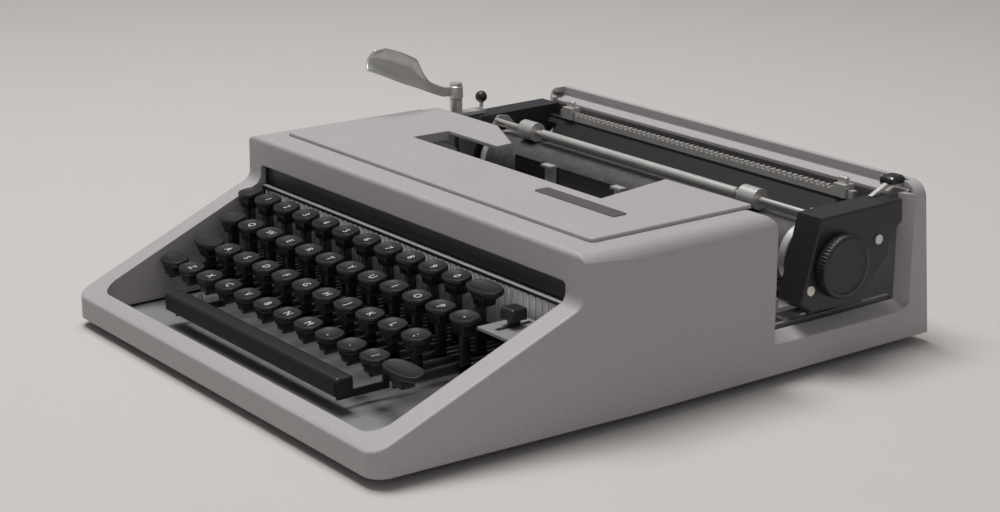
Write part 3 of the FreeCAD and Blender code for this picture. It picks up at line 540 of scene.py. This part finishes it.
class TYPEWRITER_OT_knobs(bpy.types.Operator):
    """Turn the two platen knobs with their knurled edges and recessed faces"""
    bl_idname = "typewriter.knobs"
    bl_label = "Platen knobs"

    def execute(self, context):
        low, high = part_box("platen_knobs")
        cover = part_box("end_covers")[1].x + 0.3 * MM
        radius = (high.z - low.z) / 2
        axis = Vector((0, (low.y + high.y) / 2, (low.z + high.z) / 2))
        ribs, steps = 54, 4
        bm = bmesh.new()
        # (x from the inner face, radius, knurled or not)
        width = high.x - cover
        profile = [(0.0, radius - 1.6 * MM, 0), (0.0, radius - 0.6 * MM, 0), (0.6 * MM, radius, 1),
                   (width - 1.1 * MM, radius, 1), (width - 0.4 * MM, radius - 0.5 * MM, 0),
                   (width, radius - 1.3 * MM, 0), (width, radius - 2.6 * MM, 0),
                   (width - 0.5 * MM, radius - 3.1 * MM, 0), (width - 0.6 * MM, radius * 0.5, 0),
                   (width - 0.6 * MM, 1.0 * MM, 0)]
        for side in (1, -1):
            rings = []
            for x, reach, knurled in profile:
                ring = []
                for i in range(ribs * steps):
                    angle = 2 * math.pi * i / (ribs * steps)
                    dip = sizes().knurl_deep * (0.5 - 0.5 * math.cos(angle * ribs)) * knurled
                    ring.append(axis + Vector((side * (cover + x), (reach - dip) * math.cos(angle),
                                               (reach - dip) * math.sin(angle))))
                rings.append(ring)
            loft(bm, rings)
        piece = new_piece("knurled_knobs", bm, "black_plastic")
        keep_edges(piece, 40)
        stand_for(piece, "platen_knobs")
        return {"FINISHED"}


class TYPEWRITER_OT_return_lever(bpy.types.Operator):
    """Form the return lever: a cupped sheet paddle on a flat arm, with its hub"""
    bl_idname = "typewriter.return_lever"
    bl_label = "Return lever"

    def execute(self, context):
        low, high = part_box("return_lever")
        long, tall = high.y - low.y, high.z - low.z
        centre_x = (low.x + high.x) / 2

        def at(y, z):
            return Vector((0, low.y + long * y, low.z + tall * z))

        # Lower and upper edge of the sheet from the hub (0) to the tip (1), as shares of its box.
        lower = [at(0.93, 0.05), at(0.80, 0.06), at(0.70, 0.13), at(0.55, 0.25), at(0.38, 0.37),
                 at(0.20, 0.52), at(0.06, 0.63), at(0.01, 0.67)]
        upper = [at(0.93, 0.19), at(0.80, 0.22), at(0.66, 0.34), at(0.59, 0.50), at(0.52, 0.74),
                 at(0.36, 0.88), at(0.20, 0.98), at(0.09, 0.96)]
        across, along = 10, 28
        bm = bmesh.new()
        grid = []
        for i in range(along + 1):
            place = i / along * (len(lower) - 1)
            j = min(int(place), len(lower) - 2)
            share = place - j
            bottom = lower[j].lerp(lower[j + 1], share)
            top = upper[j].lerp(upper[j + 1], share)
            cup = 3.2 * MM * min(1.0, max(0.0, (i / along - 0.3) / 0.35))
            row = []
            for k in range(across + 1):
                v = k / across
                point = bottom.lerp(top, v)
                point.x = centre_x + cup * ((2 * v - 1) ** 2 - 0.5) * 1.2
                row.append(bm.verts.new(point))
            grid.append(row)
        for a, b in zip(grid, grid[1:]):
            for k in range(across):
                bm.faces.new((a[k], a[k + 1], b[k + 1], b[k]))
        piece = new_piece("return_paddle", bm, "bright_steel")
        solid = piece.modifiers.new("sheet", "SOLIDIFY")
        solid.thickness = sizes().paddle_thick
        solid.offset = 0
        smooth = piece.modifiers.new("form", "SUBSURF")
        smooth.levels = smooth.render_levels = 1
        stand_for(piece, "return_lever")
        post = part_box("lever_post")
        bm = bmesh.new()
        outer, inner = 4.0 * MM, 2.5 * MM
        hub = Vector((centre_x, high.y - outer, 0))
        bottom, top = low.z + 0.1 * MM, min(low.z + 7.7 * MM, post[1].z - 1.6 * MM)
        profile = [(inner, bottom), (outer - 0.5 * MM, bottom), (outer, bottom + 0.5 * MM),
                   (outer, top - 0.5 * MM), (outer - 0.5 * MM, top), (inner, top), (inner, bottom)]
        turn_profile(bm, hub, profile)
        collar = new_piece("lever_hub", bm, "bright_steel")
        keep_edges(collar)
        ride_along(collar, "return_lever")
        return {"FINISHED"}


class TYPEWRITER_OT_platen_ratchet(bpy.types.Operator):
    """Turn the bright end bands of the platen, with the line-feed ratchet"""
    bl_idname = "typewriter.platen_ratchet"
    bl_label = "Platen ratchet"

    def execute(self, context):
        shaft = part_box("platen_knobs")
        axis = Vector((0, (shaft[0].y + shaft[1].y) / 2, (shaft[0].z + shaft[1].z) / 2))
        cover_to_roll, teeth = 18.9 * MM, 40
        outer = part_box("end_covers")[1].x - cover_to_roll
        # (x inwards from the outer face, radius, toothed or not), in millimetres
        profile = [(0.0, 4.3, 0), (0.0, 13.2, 1), (1.4, 13.2, 1), (1.4, 16.2, 0),
                   (1.7, 16.42, 0), (5.6, 16.42, 0), (5.9, 16.22, 0), (5.9, 15.8, 0)]
        bm = bmesh.new()
        for side in (1, -1):
            rings = []
            for x, reach, toothed in profile:
                ring = []
                for i in range(teeth * 3):
                    angle = 2 * math.pi * i / (teeth * 3)
                    deep = (reach + toothed * (0.0, 1.1, 0.3)[i % 3]) * MM
                    ring.append(axis + Vector((side * (outer - x * MM), deep * math.cos(angle),
                                               deep * math.sin(angle))))
                rings.append(ring)
            loft(bm, rings, False, False)
        piece = new_piece("line_ratchet", bm, "bright_steel")
        keep_edges(piece, 30)
        ride_along(piece, "platen")
        return {"FINISHED"}


class TYPEWRITER_OT_lever_caps(bpy.types.Operator):
    """Mould the black caps over the small release levers"""
    bl_idname = "typewriter.lever_caps"
    bl_label = "Lever caps"

    def execute(self, context):
        low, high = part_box("carriage_release_lever")
        radius = (high.x - low.x) / 2
        ball = Vector(((low.x + high.x) / 2, (low.y + high.y) / 2, high.z - radius))
        skin, pole, bands = 0.15 * MM, 0.02 * MM, 16
        arc = []
        for i in range(bands + 1):
            angle = math.pi * i / bands
            arc.append((max((radius + skin) * math.sin(angle), pole),
                        -(radius + skin) * math.cos(angle)))
        bm = bmesh.new()
        turn_profile(bm, ball, arc)
        piece = new_piece("release_ball", bm, "black_plastic")
        ride_along(piece, "carriage_release_lever")

        low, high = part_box("paper_release_lever")
        thick, long, skin = 4.4 * MM, 10.0 * MM, Vector((0.1, 0.1, 0.1)) * MM
        bm = bmesh.new()
        bar_solid(bm, Vector((low.x, high.y - long, high.z - thick)) - skin, high + skin, 1.0 * MM)
        cap = new_piece("paper_release_cap", bm, "black_plastic")
        keep_edges(cap, 50)
        ride_along(cap, "paper_release_lever")
        return {"FINISHED"}


class TYPEWRITER_OT_slot_ledge(bpy.types.Operator):
    """Lay a plated strip on the recessed panel's ledge and hang a ribbed sheet from it"""
    bl_idname = "typewriter.slot_ledge"
    bl_label = "Slot ledge"

    def execute(self, context):
        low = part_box("front_baffle")[0]
        half, ribs, edge = 128 * MM, 54, 0.2 * MM
        top = low.z + 24.5 * MM
        bm = bmesh.new()
        # the strip on the ledge, then the sheet that hangs from it, then the sheet's ribs
        bar_solid(bm, Vector((-half - 3 * MM, low.y + 0.2 * MM, top)),
                  Vector((half + 3 * MM, low.y + 2.6 * MM, top + 0.7 * MM)), edge)
        face, foot, skirt = low.y + 0.9 * MM, low.z + 1.0 * MM, top - 1.4 * MM
        bar_solid(bm, Vector((-half - 1 * MM, face, foot)),
                  Vector((half + 1 * MM, face + 0.8 * MM, skirt)), edge)
        for i in range(ribs + 1):
            x = -half + 2 * half * i / ribs
            bar_solid(bm, Vector((x - 0.6 * MM, face - 0.7 * MM, foot)),
                      Vector((x + 0.6 * MM, face + 0.2 * MM, skirt)), edge)
        piece = new_piece("ledge_comb", bm, "lever_steel")
        ride_along(piece, "front_baffle")
        return {"FINISHED"}


class TYPEWRITER_OT_side_guard(bpy.types.Operator):
    """Stand a narrow guard between the left frame plate and the carriage"""
    bl_idname = "typewriter.side_guard"
    bl_label = "Side guard"

    def execute(self, context):
        low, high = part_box("frame_side_plates")
        bm = bmesh.new()
        # from just before the plate's rear edge to just before the carriage
        front, rear, tall = 69.5 * MM, 75.1 * MM, 34 * MM
        bar_solid(bm, Vector((low.x + 0.5 * MM, front, high.z - tall)),
                  Vector((low.x + 1.5 * MM, rear, high.z - 0.2 * MM)), 0.2 * MM)
        piece = new_piece("side_guard", bm, "black_plastic")
        ride_along(piece, "frame_side_plates")
        return {"FINISHED"}


class TYPEWRITER_OT_stage(bpy.types.Operator):
    """Set the floor, the lamps and the camera"""
    bl_idname = "typewriter.stage"
    bl_label = "Stage"

    def execute(self, context):
        scene = context.scene
        bm = bmesh.new()
        bmesh.ops.create_grid(bm, x_segments=1, y_segments=1, size=6)
        mesh = bpy.data.meshes.new("floor")
        bm.to_mesh(mesh)
        bm.free()
        floor = bpy.data.objects.new("floor", mesh)
        scene.collection.objects.link(floor)
        paper, tree, shader, place = new_finish("paper_sweep")
        fibre = add_node(tree, "ShaderNodeTexNoise", links={"Vector": place, "Scale": per_metre(40)})
        tone = colours().floor
        tree.links.new(blend_colours(tree, fibre.outputs["Fac"], darker(tone, 0.98), linear(tone)),
                       shader.inputs["Base Color"])
        shader.inputs["Roughness"].default_value = 0.9
        mesh.materials.append(paper)

        world = bpy.data.worlds.new("studio")
        scene.world = world
        world.use_nodes = True
        world.node_tree.nodes["Background"].inputs["Color"].default_value = (0.95, 0.96, 1.0, 1)
        world.node_tree.nodes["Background"].inputs["Strength"].default_value = 0.22
        self.lamp("key", (-0.35, -0.15, 1.9), 1.0, 36)
        self.lamp("fill", (1.5, -0.5, 0.7), 1.4, 2.6)

        camera = bpy.data.cameras.new("camera")
        camera.lens = 74.23
        camera.sensor_width = 36
        view = bpy.data.objects.new("camera", camera)
        view.location = (0.8137, -0.6070, 0.3458)
        sight = Vector((-0.7656, 0.5752, -0.2880))
        view.rotation_euler = sight.to_track_quat("-Z", "Y").to_euler()
        scene.collection.objects.link(view)
        scene.camera = view
        scene.view_settings.view_transform = "Standard"
        return {"FINISHED"}

    def lamp(self, name, place, size, watts):
        """A square area lamp aimed at the machine."""
        data = bpy.data.lights.new(name, "AREA")
        data.size = size
        data.energy = watts
        lamp = bpy.data.objects.new(name, data)
        lamp.location = place
        aim = (LOW + HIGH) / 2 - Vector(place)
        lamp.rotation_euler = aim.to_track_quat("-Z", "Y").to_euler()
        bpy.context.scene.collection.objects.link(lamp)


STEPS = (TYPEWRITER_OT_finishes, TYPEWRITER_OT_keys, TYPEWRITER_OT_knobs, TYPEWRITER_OT_return_lever,
         TYPEWRITER_OT_platen_ratchet, TYPEWRITER_OT_lever_caps, TYPEWRITER_OT_slot_ledge,
         TYPEWRITER_OT_side_guard,
         TYPEWRITER_OT_stage)


class TYPEWRITER_PT_panel(bpy.types.Panel):
    """Lists the steps and their sizes"""
    bl_idname = "TYPEWRITER_PT_panel"
    bl_label = "Typewriter"
    bl_space_type = "VIEW_3D"
    bl_region_type = "UI"
    bl_category = "Typewriter"

    def draw(self, context):
        for group in (context.scene.typewriter_sizes, context.scene.typewriter_colours):
            for name in group.__annotations__:
                self.layout.prop(group, name)
        for step in STEPS:
            self.layout.operator(step.bl_idname)


CLASSES = (TypewriterSizes, TypewriterColours, *STEPS, TYPEWRITER_PT_panel)


def register():
    for item in CLASSES:
        bpy.utils.register_class(item)
    bpy.types.Scene.typewriter_sizes = PointerProperty(type=TypewriterSizes)
    bpy.types.Scene.typewriter_colours = PointerProperty(type=TypewriterColours)


def unregister():
    del bpy.types.Scene.typewriter_colours
    del bpy.types.Scene.typewriter_sizes
    for item in reversed(CLASSES):
        bpy.utils.unregister_class(item)


def main():
    register()
    for step in STEPS:
        group, name = step.bl_idname.split(".")
        getattr(getattr(bpy.ops, group), name)()
    bpy.context.view_layer.update()


if __name__ == "__main__":
    main()
